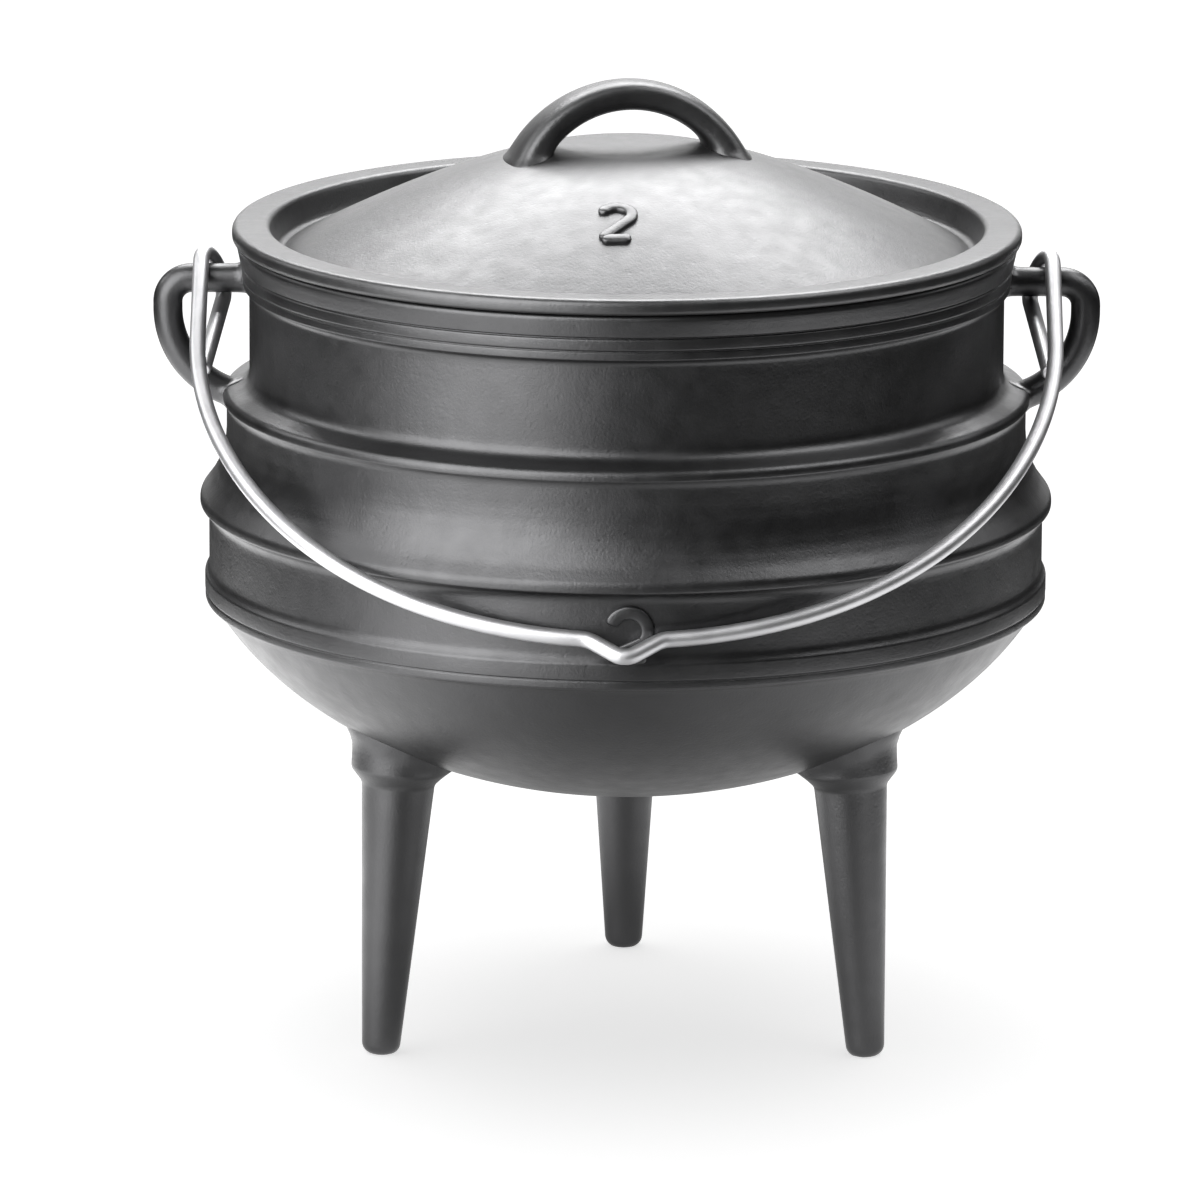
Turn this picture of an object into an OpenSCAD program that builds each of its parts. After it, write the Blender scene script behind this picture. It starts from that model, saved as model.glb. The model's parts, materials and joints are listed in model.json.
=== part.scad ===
// Three-legged cast iron cooking pot with a domed lid and a wire bail.
// Millimetres. Z is up and the feet stand on Z = 0.
// The ears and the bail's hinge lie along X, the bail leans to -Y and one leg stands at +Y.
// The origin is on the floor in the middle of the footprint, from the leaning bail to the back.

/* [Rim and neck] */
// Height of the neck, from the upper rib's top edge to the rim
neck_h = 44.7; // [40:0.1:56]
// How far the neck stands in from the shoulder
neck_in = 6.9; // [5.5:0.1:8]
// Wall thickness of the neck
neck_wall = 3.5; // [3:0.1:4.5]
// How far the rim stands out from the neck
rim_out = 4; // [3:0.1:5]
// Height of the plain band at the rim
rim_h = 6.6; // [5:0.1:7.5]
// How much the rim band narrows towards its lower edge
rim_draft = 1.4; // [0.6:0.1:1.6]
// How far the upper bead under the rim stands out from the neck
bead_out = 2.2; // [1.6:0.1:2.6]
// Height of the upper bead
bead_h = 3.8; // [3:0.1:4.4]
// How far the lower bead under the rim stands out from the neck
low_bead_out = 1.8; // [1.3:0.1:2.2]
// Height of the lower bead
low_bead_h = 2.8; // [2.2:0.1:3.4]
// Radius of the hollow under the lower bead
bead_cove = 4; // [2:0.5:6]

/* [Belly and ribs] */
// Outer radius of the belly between the middle and the lower rib
belly_r = 125.7; // [116:0.1:134]
// Wall thickness of the belly and the bowl
wall = 4; // [3:0.1:5]
// Height of the bowl's underside above the floor
bowl_z = 75; // [66:0.5:86]
// Height of the bowl, from its underside to the lower rib's top edge
bowl_h = 65; // [58:0.5:74]
// Height of the belly, from the lower rib's top edge to the middle rib's
belly_h = 26.5; // [24:0.1:32]
// Height of the shoulder, from the middle rib's top edge to the upper rib's
shoulder_h = 30.6; // [27:0.1:36]
// How far the shoulder stands in from the belly
shoulder_in = 5.4; // [4:0.1:6.5]
// How far the upper rib stands out from the shoulder
upper_rib_out = 1.6; // [1:0.1:2.4]
// Height of the upper rib's face
upper_rib_h = 3.1; // [2:0.1:4]
// Radius of the hollow that sweeps out from the neck to the upper rib
upper_cove = 15; // [12:0.5:18]
// How far the middle rib stands out from the belly
middle_rib_out = 2.7; // [1.6:0.1:3.6]
// Height of the middle rib's face
middle_rib_h = 4; // [3:0.1:5]
// Radius of the hollow that sweeps out from the shoulder to the middle rib
middle_cove = 32; // [24:0.5:34]
// How far the lower rib stands out from the belly
lower_rib_out = 1.3; // [0.8:0.1:2]
// Height of the lower rib's upper face
lower_rib_h = 4.4; // [3.5:0.1:5]
// Height of the bead that closes the lower rib underneath
lower_bead_h = 3.4; // [2.5:0.1:4]
// How far the bowl's edge stands in from the lower rib
bowl_in = 2.5; // [2:0.1:3.5]
// How far above the lower rib the bowl's curve would be upright
bowl_rise = 28.3; // [20:0.1:36]
// Radius of the hollow under a rib's face
undercut = 7; // [5:0.5:9]
// Rounding of the ribs' edges
edge = 1; // [0.5:0.1:1.2]

/* [Legs] */
// Distance of each foot from the pot's axis
foot_spread = 84.4; // [80:0.1:88]
// How far each leg leans inwards from its foot to its collar
leg_lean = 6.4; // [4:0.1:9]
// Radius of the leg at its foot
foot_r = 5.6; // [5:0.1:7]
// Rounding of the foot
foot_round = 3.6; // [2.5:0.1:4]
// Radius of the leg under its collar
leg_r = 11; // [9:0.1:12]
// Radius of the collar
collar_r = 14.4; // [13.5:0.1:16]
// Height of the collar's lower edge above the bowl's underside
collar_up = 12.4; // [9:0.1:15]
// Height of the sloped part between the leg and the collar
collar_slope = 4; // [3:0.1:6]

/* [Ears] */
// Radius of the round bar of the ears
ear_bar_r = 4.4; // [4:0.1:5]
// Depth of the hinge axis under the rim
ear_drop = 12.6; // [11.6:0.1:14]
// Radius of the ear's upper outer bend
ear_bend = 7.2; // [6.5:0.1:9]
// Straight length under that bend
ear_side = 2; // [1:0.1:5]
// Angle through which the ear sweeps back in to the upper rib
ear_sweep = 72; // [66:1:76]

/* [Lid] */
// How far the lid reaches past the rim
lid_over = 1.1; // [0.5:0.1:1.5]
// Thickness of the lid's outer ring
lid_ring_t = 4.8; // [4:0.1:6]
// Width of the lid's flat outer ring
lid_ring_w = 11.1; // [9:0.1:12]
// Rounding of the ring's upper edges
ring_edge = 2; // [1:0.1:2.5]
// Depth of the gutter under the lid's ring
gutter_drop = 8.6; // [7:0.1:10]
// Width of the gutter at its floor
gutter_w = 2.4; // [2:0.1:4]
// Slope of the gutter's outer side, measured across
gutter_slope = 2.2; // [1.5:0.1:3]
// Height of the dome above the gutter's floor
dome_h = 32; // [26:0.5:38]
// Radius of the flat top of the dome
dome_flat = 20; // [12:0.5:24]
// Exponent of the dome's curve: 1 gives a cone, 2 a bowl
dome_power = 1.4; // [1.2:0.05:1.8]
// Thickness of the dome
lid_wall = 4.5; // [3.5:0.1:5]
// Gap between the lid's skirt and the mouth, all round
skirt_gap = 0.7; // [0.4:0.1:1.5]
// Taper of the lid's skirt
skirt_draft = 1.2; // [0.8:0.1:2]

/* [Lid handle] */
// Radius of the arch, to the middle of the strap
arch_r = 34.7; // [32:0.1:38]
// Height of the middle of the strap above the top of the dome
arch_rise = 15.8; // [13:0.1:20]
// Thickness of the strap at the top of the arch
strap_t = 8.8; // [7:0.1:10]
// Thickness of the strap at its feet
strap_foot_t = 10; // [8.5:0.1:13]
// Width of the strap at the top of the arch
strap_w = 14; // [11:0.1:17]
// Width of the strap at its feet
strap_foot_w = 24; // [18:0.1:27]
// Roundness of the strap's section: 1 gives an ellipse, 0.5 a box with soft edges
strap_round = 0.65; // [0.5:0.05:1]
// Angle by which the handle is turned away from the line of the ears
handle_turn = 11; // [-20:1:20]

/* [Bail] */
// Radius of the bail's wire
wire_r = 2.4; // [2:0.1:2.8]
// Distance from the hinge axis to the wire at the tip of the kink
bail_drop = 157.8; // [156:0.1:163]
// Slope of the kink's sides
kink_angle = 36; // [26:1:42]
// Radius of the bend at the tip of the kink
kink_tip = 5; // [4:0.1:7]
// Straight length of each side of the kink
kink_side = 7.5; // [5:0.1:9]
// Radius of the bends where the kink runs into the bow
kink_end = 8; // [6:0.1:10]
// Slope of the wire next to the kink
bow_start = 5; // [3:0.5:7]
// Slope at the end of the bow's flat middle stretch
bow_middle = 20.5; // [19:0.5:23]
// Slope at the end of the bow's round corner stretch
bow_corner = 66.7; // [64:0.1:69]
// Radius of the bow's round corner stretch
bow_corner_r = 120; // [114:0.5:124]
// Radius of the bow's arm stretch
bow_arm_r = 116.8; // [105:0.1:125]
// Angle between the eyes and the plane across the hinge axis
eye_turn = 24; // [18:1:28]
// Angle at which the wire's end comes back to the arm
tail_turn = 16; // [13:0.5:22]

/* [Clearances] */
// Gap between each eye and the ear's bar
eye_gap = 0.4; // [0.3:0.05:0.8]
// Gap between the eyes and the lid's edge as the bail swings past
swing_gap = 0.4; // [0.3:0.1:1.5]
// Gap between the eyes and the ear's bend
ear_gap = 0.6; // [0.4:0.1:1.5]
// Gap between the wire and the belly it leans on
rest_gap = 0.3; // [0.25:0.05:0.5]

/* [Hidden] */
$fn = 144;
IRON = [0.13, 0.13, 0.135];
STEEL = [0.72, 0.72, 0.73];

// Heights of the pot above the floor, from the bowl up to the rim
lower_rib_z = bowl_z + bowl_h;
middle_rib_z = lower_rib_z + belly_h;
upper_rib_z = middle_rib_z + shoulder_h;
pot_h = upper_rib_z + neck_h;
ear_z = pot_h - ear_drop;
bead_top = pot_h - rim_h - 0.6;
low_bead_top = bead_top - bead_h;
low_bead_bottom = low_bead_top - low_bead_h;
lower_bead_z = lower_rib_z - lower_rib_h;
bowl_top_z = lower_bead_z - lower_bead_h;
bowl_mid_z = lower_rib_z + bowl_rise;
bowl_depth = bowl_mid_z - bowl_z;
collar_z = bowl_z + collar_up;

// Radii of the pot, from the belly up to the rim
lower_rib_r = belly_r + lower_rib_out;
middle_rib_r = belly_r + middle_rib_out;
shoulder_r = belly_r - shoulder_in;
upper_rib_r = shoulder_r + upper_rib_out;
neck_r = shoulder_r - neck_in;
mouth_r = neck_r - neck_wall;
rim_r = neck_r + rim_out;
bead_r = neck_r + bead_out;
low_bead_r = neck_r + low_bead_out;
bowl_top_r = lower_rib_r - bowl_in;
bowl_r = bowl_top_r / sqrt(1 - pow((bowl_mid_z - bowl_top_z) / bowl_depth, 2));

// Sizes that follow from the lid
lid_r = rim_r + lid_over;
lid_top = pot_h + lid_ring_t;
ring_in_r = lid_r - lid_ring_w;
gutter_z = lid_top - gutter_drop;
gutter_out_r = ring_in_r - gutter_slope;
dome_r = gutter_out_r - gutter_w;
dome_top = gutter_z + dome_h;
dome_rise = dome_h - 0.5;

// Sizes that follow from the hinge: the eyes clear the lid, the bar and the ear's bend
eye_r = (ear_bar_r + wire_r + eye_gap) / cos(eye_turn);
eye_x = lid_r + swing_gap + wire_r + eye_r * sin(eye_turn);
arm_x = eye_x + eye_r * sin(eye_turn);
arm_y = -eye_r * cos(eye_turn);
ear_bar_end = arm_x + wire_r + ear_gap;
tail_length = (eye_r - 2 * wire_r + 0.2 + eye_r * cos(tail_turn)) / sin(tail_turn);

// The middle stretch's radius closes the bow across, and the arm's length closes it upwards
kink_x = kink_tip * sin(kink_angle) + kink_side * cos(kink_angle)
    + kink_end * (sin(kink_angle) - sin(bow_start));
kink_rise = kink_tip * (1 - cos(kink_angle)) + kink_side * sin(kink_angle)
    + kink_end * (cos(bow_start) - cos(kink_angle));
bow_middle_r = (arm_x - kink_x - bow_corner_r * (sin(bow_corner) - sin(bow_middle))
    - bow_arm_r * (1 - sin(bow_corner))) / (sin(bow_middle) - sin(bow_start));
arm_length = bail_drop - kink_rise - bow_middle_r * (cos(bow_start) - cos(bow_middle))
    - bow_corner_r * (cos(bow_middle) - cos(bow_corner)) - bow_arm_r * cos(bow_corner);

// Outline helpers: all work on [radius, height] points

// A face with rounded edges, from its top to its bottom
function bead(r, top, height, round = edge) = concat(
    [for (t = [90:-30:0]) [r - round + round * cos(t), top - round + round * sin(t)]],
    [for (t = [0:-30:-90]) [r - round + round * cos(t), top - height + round + round * sin(t)]]);

// Sweep from an upright wall of radius r1 out to a face of radius r2 whose edge is at z:
// a hollow of radius cove runs into a rounding. up is 1 for a wall above the face, -1 below it.
function sweep_angle(r1, r2, cove, round) = acos(1 - (r2 - r1) / (cove + round));
function sweep_out(r1, r2, z, cove, round, up = 1) =
    let (turn = sweep_angle(r1, r2, cove, round), start = z + up * (cove + round) * sin(turn))
    concat(
        [for (k = [0:6]) let (t = turn * k / 6)
            [r1 + cove * (1 - cos(t)), start - up * cove * sin(t)]],
        [for (k = [2:-1:0]) let (t = turn * k / 3)
            [r2 - round * (1 - cos(t)), z + up * round * sin(t)]]);
function reversed(points) = [for (k = [len(points) - 1:-1:0]) points[k]];
// Height that such a sweep takes, and the largest hollow whose sweep fits into a height
function sweep_height(r1, r2, cove, round) =
    (cove + round) * sin(sweep_angle(r1, r2, cove, round));
function fitting_cove(cove, r1, r2, room, round) =
    min(cove, (room * room + pow(r2 - r1, 2)) / (2 * (r2 - r1)) - round);

// The bowl: part of an ellipse, from its edge down to the axis, set in by the given thickness
function bowl_height(r, inset = 0) =
    bowl_mid_z - (bowl_depth - inset) * sqrt(max(0, 1 - pow(r / (bowl_r - inset), 2)));
function bowl_curve(edge_r, inset = 0) =
    let (first = acos(edge_r / (bowl_r - inset)))
    [for (k = [0:28]) let (t = first + (90 - first) * k / 28)
        [(bowl_r - inset) * cos(t), bowl_mid_z - (bowl_depth - inset) * sin(t)]];

// The hollows above the upper and the middle rib take what room there is below the part above them
neck_room = low_bead_bottom - bead_cove - upper_rib_z;
upper_hollow = fitting_cove(upper_cove, neck_r, upper_rib_r, neck_room, edge);
upper_cut_h = sweep_height(shoulder_r, upper_rib_r, undercut, edge);
shoulder_room = shoulder_h - upper_rib_h - upper_cut_h;
middle_hollow = fitting_cove(middle_cove, shoulder_r, middle_rib_r, shoulder_room, edge);

// Outside of the body, from the rim down to the axis
body_outline = concat(
    [for (t = [90:-30:0]) [rim_r - edge + edge * cos(t), pot_h - edge + edge * sin(t)]],
    [[rim_r - rim_draft, pot_h - rim_h]],
    bead(bead_r, bead_top, bead_h, 0.8),
    bead(low_bead_r, low_bead_top, low_bead_h, 0.8),
    reversed(sweep_out(neck_r, low_bead_r - 0.8, low_bead_bottom, bead_cove, 0.4, -1)),
    sweep_out(neck_r, upper_rib_r, upper_rib_z, upper_hollow, edge),
    reversed(sweep_out(shoulder_r, upper_rib_r, upper_rib_z - upper_rib_h, undercut, edge, -1)),
    sweep_out(shoulder_r, middle_rib_r, middle_rib_z, middle_hollow, edge),
    reversed(sweep_out(belly_r, middle_rib_r, middle_rib_z - middle_rib_h, undercut, edge, -1)),
    sweep_out(belly_r, lower_rib_r, lower_rib_z, 2.5, 0.6),
    [[lower_rib_r, lower_bead_z + 0.6], [lower_rib_r - 0.5, lower_bead_z]],
    [[lower_rib_r - 0.1, lower_bead_z - 0.6], [lower_rib_r - 0.1, bowl_top_z + 1.4]],
    [[lower_rib_r - 0.9, bowl_top_z + 0.4]],
    bowl_curve(bowl_top_r));

// Inside of the body, from above the rim down to the axis
cavity_outline = concat(
    [[0, pot_h + 1], [mouth_r + 0.8, pot_h + 1], [mouth_r + 0.8, pot_h], [mouth_r, pot_h - 0.8]],
    sweep_out(mouth_r, shoulder_r - wall, upper_rib_z - 7, 20, 10),
    sweep_out(shoulder_r - wall, belly_r - wall, middle_rib_z - 4, 20, 20),
    bowl_curve(bowl_top_r - wall, wall));

// Top of the lid's dome at radius r
function dome_z(r) = dome_top
    - dome_rise * pow(max(0, r - dome_flat) / (dome_r - dome_flat), dome_power);

lid_outline = concat(
    [for (k = [0:22]) let (r = dome_r * k / 22) [r, dome_z(r)]],
    [[dome_r + 0.8, gutter_z], [gutter_out_r - 0.8, gutter_z], [gutter_out_r + 0.1, gutter_z + 0.7]],
    [for (t = [165:-25:90]) [ring_in_r + ring_edge * (1 + cos(t)), lid_top - ring_edge * (1 - sin(t))]],
    [for (t = [90:-30:0]) [lid_r - ring_edge * (1 - cos(t)), lid_top - ring_edge * (1 - sin(t))]],
    [[lid_r, pot_h + 0.5], [lid_r - 0.5, pot_h], [mouth_r - skirt_gap, pot_h]],
    [[mouth_r - skirt_gap - skirt_draft, gutter_z - lid_wall], [0, gutter_z - lid_wall]]);

lid_hollow_outline = concat(
    [[0, gutter_z - lid_wall - 1], [dome_r - 1, gutter_z - lid_wall - 1]],
    [[dome_r - 1, gutter_z - lid_wall]],
    [for (k = [21:-1:0]) let (r = dome_r * k / 22) [r, dome_z(r) - lid_wall]]);

// Middle line of the bow in its own plane, as [across, down] points, for finding where it rests
function arc(from, radius, a1, a2) = [for (k = [0:8]) let (a = a1 + (a2 - a1) * k / 8)
    [from[0] + radius * (sin(a) - sin(a1)), from[1] - radius * (cos(a1) - cos(a))]];
kink_arc = arc([0, bail_drop], kink_tip, 0, kink_angle);
kink_foot = [kink_x, bail_drop - kink_rise];
middle_arc = arc(kink_foot, bow_middle_r, bow_start, bow_middle);
corner_arc = arc(middle_arc[8], bow_corner_r, bow_middle, bow_corner);
bow_line = concat(kink_arc, middle_arc, corner_arc);

// Clear distance between the wire and the body for a bail that leans by the given angle
function line_distance(p, a, b) =
    let (along = b - a, t = max(0, min(1, ((p - a) * along) / max(1e-9, along * along))))
    norm(p - a - t * along);
neck_z = upper_rib_z + 4;
belly_outline = [for (p = body_outline) if (p[1] < neck_z && p[0] > bowl_top_r - 8) p];
function leaned(p, lean) =
    let (y = arm_y * cos(lean) - p[1] * sin(lean), z = ear_z - arm_y * sin(lean) - p[1] * cos(lean))
    [norm([p[0], y]), z];
belly_table = [for (p = belly_outline) [p[1], p[0]]];
function clearance(lean) = min([for (p = bow_line) let (q = leaned(p, lean))
    q[1] > neck_z ? 99
    : q[0] < lookup(q[1], belly_table) ? -1
    : min([for (k = [1:len(belly_outline) - 1])
        line_distance(q, belly_outline[k - 1], belly_outline[k])]) - wire_r]);
function resting_lean(low, high, turns = 15) = turns == 0 ? high
    : let (middle = (low + high) / 2)
    clearance(middle) > rest_gap ? resting_lean(low, middle, turns - 1)
    : resting_lean(middle, high, turns - 1);

// Lean of the bail at rest, measured from hanging straight down
bail_lean = resting_lean(40, 80);
// The pot's axis stands this far behind the middle of the footprint
front_reach = bail_drop * sin(bail_lean) - arm_y * cos(bail_lean) + wire_r;
axis_y = (front_reach - middle_rib_r) / 2;

// Round bar that starts at the origin along +Z and is fed, bent towards +X and rolled
// step by step: ["feed", length], ["bend", middle-line radius, angle] or ["roll", angle]
module bent_bar(radius, steps, k = 0) {
    if (k < len(steps)) {
        kind = steps[k][0];
        size = steps[k][1];
        if (kind == "feed") {
            cylinder(r = radius, h = size, $fn = 32);
            translate([0, 0, size]) bent_bar(radius, steps, k + 1);
        }
        if (kind == "bend") {
            angle = steps[k][2];
            translate([size, 0, 0]) rotate([90, 0, 180])
                rotate_extrude(angle = angle) translate([size, 0]) circle(r = radius, $fn = 32);
            translate([size * (1 - cos(angle)), 0, size * sin(angle)]) rotate([0, angle, 0])
                bent_bar(radius, steps, k + 1);
        }
        if (kind == "roll") {
            rotate([0, 0, size]) bent_bar(radius, steps, k + 1);
        }
    }
}

// Places what is drawn about the pot's axis
module on_axis() {
    translate([0, axis_y, 0]) children();
}

// Loop on the body's side: out along the hinge axis, down and back in to the upper rib
module ear() {
    start = mouth_r + neck_wall * 0.6;
    sweep_r = (ear_z - ear_bend - ear_side - upper_rib_z + 2.7) / sin(ear_sweep);
    translate([start, 0, ear_z]) rotate([0, 90, 0]) bent_bar(ear_bar_r, [
        ["feed", ear_bar_end - start],
        ["bend", ear_bend, 90],
        ["feed", ear_side],
        ["bend", sweep_r, ear_sweep],
        ["feed", wall + 2]]);
}

// Leg with its collar, rooted in the bowl
module leg() {
    lean = atan(leg_lean / collar_z);
    root = bowl_height(foot_spread - leg_lean + collar_r) + 1.5;
    sink = 0.4;
    translate([foot_spread, 0, 0]) rotate([0, -lean, 0]) rotate_extrude() polygon(concat(
        [[0, -sink]],
        [for (t = [0:15:90]) [foot_r - foot_round + foot_round * sin(t), foot_round * (1 - cos(t)) - sink]],
        [[leg_r, collar_z - collar_slope], [collar_r - 0.3, collar_z - 0.3], [collar_r, collar_z + 0.4]],
        [[collar_r, root], [0, root]]));
}

module pot() {
    color(IRON) on_axis() difference() {
        union() {
            rotate_extrude() polygon(concat([[0, pot_h]], body_outline));
            ear();
            mirror([1, 0, 0]) ear();
            for (k = [0:2]) rotate([0, 0, 90 + 120 * k]) leg();
        }
        rotate_extrude() polygon(cavity_outline);
        // Flat soles
        translate([-150, -150, -10]) cube([300, 300, 10]);
    }
}

// One section of the handle's strap, at u = -1 to 1 along the arch
strap_corners = 24;
function strap_section(u) =
    let (
        foot_z = dome_z(arch_r) - lid_wall * 0.45,
        top_z = dome_top + arch_rise,
        half_angle = acos((foot_z - top_z + arch_r) / arch_r),
        angle = half_angle * u,
        flare = pow(abs(u), 5),
        tilt = angle + sign(u) * (90 - half_angle) * flare,
        t = strap_t + (strap_foot_t - strap_t) * flare,
        w = strap_w + (strap_foot_w - strap_w) * pow(abs(u), 2),
        x = arch_r * sin(angle),
        z = top_z - arch_r * (1 - cos(angle)))
    [for (k = [0:strap_corners - 1]) let (
        a = 360 * k / strap_corners,
        n = sign(cos(a)) * pow(abs(cos(a)), strap_round) * t / 2,
        m = sign(sin(a)) * pow(abs(sin(a)), strap_round) * w / 2)
        [x + n * sin(tilt), m, z + n * cos(tilt)]];

// Closed skin over a row of rings that all have the same number of points
module tube(rings) {
    n = len(rings[0]);
    last = len(rings) - 1;
    sides = [for (i = [0:last - 1], k = [0:n - 1])
        [i * n + k, i * n + (k + 1) % n, (i + 1) * n + (k + 1) % n, (i + 1) * n + k]];
    ends = [[for (k = [n - 1:-1:0]) k], [for (k = [0:n - 1]) last * n + k]];
    polyhedron([for (ring = rings) each ring], concat(sides, ends));
}

module lid() {
    color(IRON) on_axis() difference() {
        union() {
            rotate_extrude() polygon(lid_outline);
            rotate([0, 0, handle_turn]) tube([for (u = [-1:1/11:1]) strap_section(u)]);
        }
        rotate_extrude() polygon(lid_hollow_outline);
    }
}

// The bail's wire from the tip of its kink to the end of its eye, hanging from the hinge axis
half_bail = [
    ["bend", kink_tip, kink_angle],
    ["feed", kink_side],
    ["roll", 180],
    ["bend", kink_end, kink_angle - bow_start],
    ["roll", 180],
    ["bend", bow_middle_r, bow_middle - bow_start],
    ["bend", bow_corner_r, bow_corner - bow_middle],
    ["bend", bow_arm_r, 90 - bow_corner],
    ["feed", arm_length],
    ["roll", eye_turn - 90],
    ["bend", eye_r, 180 + tail_turn],
    ["feed", tail_length]];

// The same steps as stations on the wire's middle line: [point, across, along, roll so far]
function stations(steps, p = [0, 0, 0], x = [1, 0, 0], z = [0, 0, 1], rolled = 0, k = 0) =
    k == len(steps) ? []
    : let (kind = steps[k][0], size = steps[k][1])
    kind == "feed" ? let (q = p + size * z)
        concat([[q, x, z, rolled]], stations(steps, q, x, z, rolled, k + 1))
    : kind == "roll" ?
        stations(steps, p, cos(size) * x + sin(size) * cross(z, x), z, rolled + size, k + 1)
    : let (
        n = ceil(steps[k][2] / (size > 40 ? 4 : 12)),
        bend = [for (j = [1:n]) let (a = steps[k][2] * j / n)
            [p + size * ((1 - cos(a)) * x + sin(a) * z), cos(a) * x - sin(a) * z,
                cos(a) * z + sin(a) * x, rolled]],
        last = bend[n - 1])
    concat(bend, stations(steps, last[0], last[1], last[2], rolled, k + 1));

// Ring of points round one station, turned from the wire's own axes to the hanging bail's
wire_corners = 16;
function wire_ring(s) = [for (k = [0:wire_corners - 1]) let (
    t = -360 * k / wire_corners - s[3],
    q = s[0] + wire_r * (cos(t) * s[1] + sin(t) * cross(s[2], s[1])))
    [q[2], arm_y - q[1], q[0] - bail_drop]];
function mirrored(ring) = [for (q = ring) [-q[0], q[1], q[2]]];

module bail() {
    middle = wire_ring([[0, 0, 0], [1, 0, 0], [0, 0, 1], 0]);
    half = [for (s = stations(half_bail)) wire_ring(s)];
    color(STEEL) on_axis() translate([0, 0, ear_z]) rotate([-bail_lean, 0, 0])
        tube(concat([for (k = [len(half) - 1:-1:0]) mirrored(half[k])], [middle], half));
}

pot();
lid();
bail();
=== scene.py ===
# %% [markdown]
# # A three-legged cast iron pot
#
# The pot is three things: a round-bellied iron casting with ribs, two ears and three legs, a domed
# iron lid that only rests on the rim, and a bent steel wire that swings on the ears.
# The CAD solids carry the motion, and their sizes are repeated here by name. Each of them gets a
# finer skin, because a sand casting shows soft edges and small fillets that a CAD solid leaves out.
# All shapes are worked out in millimetres about the pot's own axis, and turned to metres at the end.

import json

import bmesh
import bpy
import numpy as np
from mathutils import Matrix, Vector

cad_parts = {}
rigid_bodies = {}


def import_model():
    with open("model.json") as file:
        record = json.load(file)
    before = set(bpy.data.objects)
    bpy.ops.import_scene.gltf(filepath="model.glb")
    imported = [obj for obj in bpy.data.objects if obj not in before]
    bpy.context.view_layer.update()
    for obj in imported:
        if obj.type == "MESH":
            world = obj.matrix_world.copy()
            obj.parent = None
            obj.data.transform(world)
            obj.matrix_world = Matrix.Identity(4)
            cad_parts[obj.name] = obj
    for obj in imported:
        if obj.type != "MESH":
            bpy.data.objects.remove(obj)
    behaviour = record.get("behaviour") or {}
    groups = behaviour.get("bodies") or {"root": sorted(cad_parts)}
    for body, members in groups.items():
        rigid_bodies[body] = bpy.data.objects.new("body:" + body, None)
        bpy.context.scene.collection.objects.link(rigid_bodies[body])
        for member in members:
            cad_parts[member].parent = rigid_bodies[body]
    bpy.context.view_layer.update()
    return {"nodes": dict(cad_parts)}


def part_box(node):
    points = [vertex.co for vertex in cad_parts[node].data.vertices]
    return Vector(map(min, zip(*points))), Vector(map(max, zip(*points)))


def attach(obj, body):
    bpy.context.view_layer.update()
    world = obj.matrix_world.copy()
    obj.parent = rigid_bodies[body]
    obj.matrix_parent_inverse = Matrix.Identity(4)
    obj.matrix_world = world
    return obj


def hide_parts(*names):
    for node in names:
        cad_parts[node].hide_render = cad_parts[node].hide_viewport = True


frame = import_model()
print("CAD nodes:", sorted(frame["nodes"]))

# %% [markdown]
# The bail leans out in front, so the origin, in the middle of the footprint, isn't on the pot's axis.
# The lid's ring is round about that axis, so the middle of the lid's box tells where it stands.

# %% Where the pot's axis stands
lid_low, lid_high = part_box("lid")
AXIS_Y = 500 * (lid_low.y + lid_high.y)
print(f"the axis is {AXIS_Y:.2f} mm behind the origin")

# %% [markdown]
# Every skin is a sheet of points: rows run along an outline or a path, columns run round it.
# The faces can be worked out for the whole sheet at once, because the corner numbers of a grid
# follow a rule. The last column joins the first, and points that fall together at a pole are merged.


# %% From sheets of points to a mesh
def skin(name, *sheets):
    """One mesh object from sheets of points, each [rows, columns, 3] in millimetres about the axis.

    A face joins point (i, j) with (i, j + 1), (i + 1, j + 1) and (i + 1, j), and the columns wrap round.
    """
    points = np.concatenate([sheet.reshape(-1, 3) for sheet in sheets])
    faces = []
    first = 0
    for sheet in sheets:
        rows, columns = sheet.shape[:2]
        number = first + np.arange(rows * columns).reshape(rows, columns)
        beside = np.roll(number, -1, axis=1)
        faces.append(np.stack([number[:-1], beside[:-1], beside[1:], number[1:]], -1).reshape(-1, 4))
        first += rows * columns
    mesh = bpy.data.meshes.new(name)
    mesh.from_pydata((points + [0, AXIS_Y, 0]) / 1000, [], np.concatenate(faces).tolist())
    work = bmesh.new()
    work.from_mesh(mesh)
    bmesh.ops.remove_doubles(work, verts=work.verts, dist=1e-7)
    open_edges = [edge for edge in work.edges if edge.is_boundary]
    if open_edges:
        bmesh.ops.holes_fill(work, edges=open_edges)
    bmesh.ops.recalc_face_normals(work, faces=work.faces)
    work.to_mesh(mesh)
    work.free()
    mesh.shade_smooth()
    piece = bpy.data.objects.new(name, mesh)
    bpy.context.scene.collection.objects.link(piece)
    print(f"{name}: {len(mesh.polygons)} faces")
    return piece


def revolve(outline, columns=256):
    """Surface of revolution: the point (radius, height) goes to (radius cos t, radius sin t, height)."""
    turn = np.linspace(0, 2 * np.pi, columns, endpoint=False)
    radius, height = outline[:, :1], outline[:, 1:]
    return np.stack([radius * np.cos(turn), radius * np.sin(turn), height + 0 * turn], -1)


def turned(sheet, degrees):
    """Turn about the axis: (x, y) goes to (x cos t - y sin t, x sin t + y cos t)."""
    t = np.radians(degrees)
    x, y, z = sheet[..., 0], sheet[..., 1], sheet[..., 2]
    return np.stack([x * np.cos(t) - y * np.sin(t), x * np.sin(t) + y * np.cos(t), z], -1)


# %% [markdown]
# A casting has no sharp edge anywhere: the sand can't hold one. So an outline is written as a few
# corners, each with its own rounding, and one formula puts the arc into all corners together.


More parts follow.
